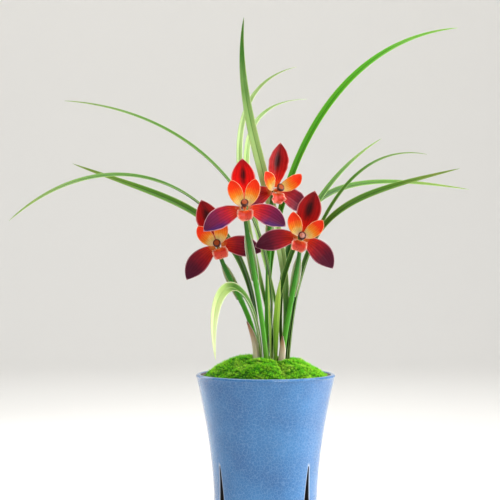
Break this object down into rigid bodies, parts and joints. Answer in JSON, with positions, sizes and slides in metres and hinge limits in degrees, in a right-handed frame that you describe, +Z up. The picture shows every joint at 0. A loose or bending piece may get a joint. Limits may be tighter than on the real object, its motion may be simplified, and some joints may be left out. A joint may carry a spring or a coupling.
{
  "type": "potted orchid",
  "caption": "Grass-leaved spring orchid in flower, in a tall flared glazed pot with slits in its lower wall and a moss top.",
  "frame": {"origin": "the middle of the pot's foot, on the surface that the pot stands on; the plant's spread is centred over it to a few millimetres", "axes": "+Z up along the pot's axis; -Y is the front, the way the flowers face; +X to the right seen from the front"},
  "size_m": [0.3774, 0.2985, 0.4721],
  "materials": {
    "glazed_stoneware": "gloss",
    "bark_mix": "matte",
    "cushion_moss": "matte",
    "leaf_blade": "satin",
    "flower_stem": "satin",
    "green_bract": "satin",
    "dry_sheath": "matte",
    "crimson_sepal": "satin",
    "maroon_sepal": "satin",
    "orange_petal": "satin",
    "coral_lip": "satin",
    "flower_column": "satin"
  },
  "bodies": {
    "root": {"bract_a": "green_bract", "bract_b": "green_bract", "bract_c": "green_bract", "bract_d": "green_bract", "flower_a_column": "flower_column", "flower_a_dorsal_sepal": "crimson_sepal", "flower_a_left_petal": "orange_petal", "flower_a_left_sepal": "maroon_sepal", "flower_a_lip": "coral_lip", "flower_a_right_petal": "orange_petal", "flower_a_right_sepal": "maroon_sepal", "flower_b_column": "flower_column", "flower_b_dorsal_sepal": "crimson_sepal", "flower_b_left_petal": "orange_petal", "flower_b_left_sepal": "maroon_sepal", "flower_b_lip": "coral_lip", "flower_b_right_petal": "orange_petal", "flower_b_right_sepal": "maroon_sepal", "flower_c_column": "flower_column", "flower_c_dorsal_sepal": "crimson_sepal", "flower_c_left_petal": "orange_petal", "flower_c_left_sepal": "maroon_sepal", "flower_c_lip": "coral_lip", "flower_c_right_petal": "orange_petal", "flower_c_right_sepal": "maroon_sepal", "flower_d_column": "flower_column", "flower_d_dorsal_sepal": "crimson_sepal", "flower_d_left_petal": "orange_petal", "flower_d_left_sepal": "maroon_sepal", "flower_d_lip": "coral_lip", "flower_d_right_petal": "orange_petal", "flower_d_right_sepal": "maroon_sepal", "growing_medium": "bark_mix", "leaf_01": "leaf_blade", "leaf_02": "leaf_blade", "leaf_03": "leaf_blade", "leaf_04": "leaf_blade", "leaf_05": "leaf_blade", "leaf_06": "leaf_blade", "leaf_07": "leaf_blade", "leaf_08": "leaf_blade", "leaf_09": "leaf_blade", "leaf_10": "leaf_blade", "leaf_11": "leaf_blade", "leaf_12": "leaf_blade", "leaf_13": "leaf_blade", "leaf_14": "leaf_blade", "moss_back": "cushion_moss", "moss_front": "cushion_moss", "moss_left": "cushion_moss", "moss_right": "cushion_moss", "pot": "glazed_stoneware", "sheath_left": "dry_sheath", "sheath_right": "dry_sheath", "stem_a": "flower_stem", "stem_b": "flower_stem", "stem_c": "flower_stem", "stem_d": "flower_stem"}
  },
  "joints": []
}
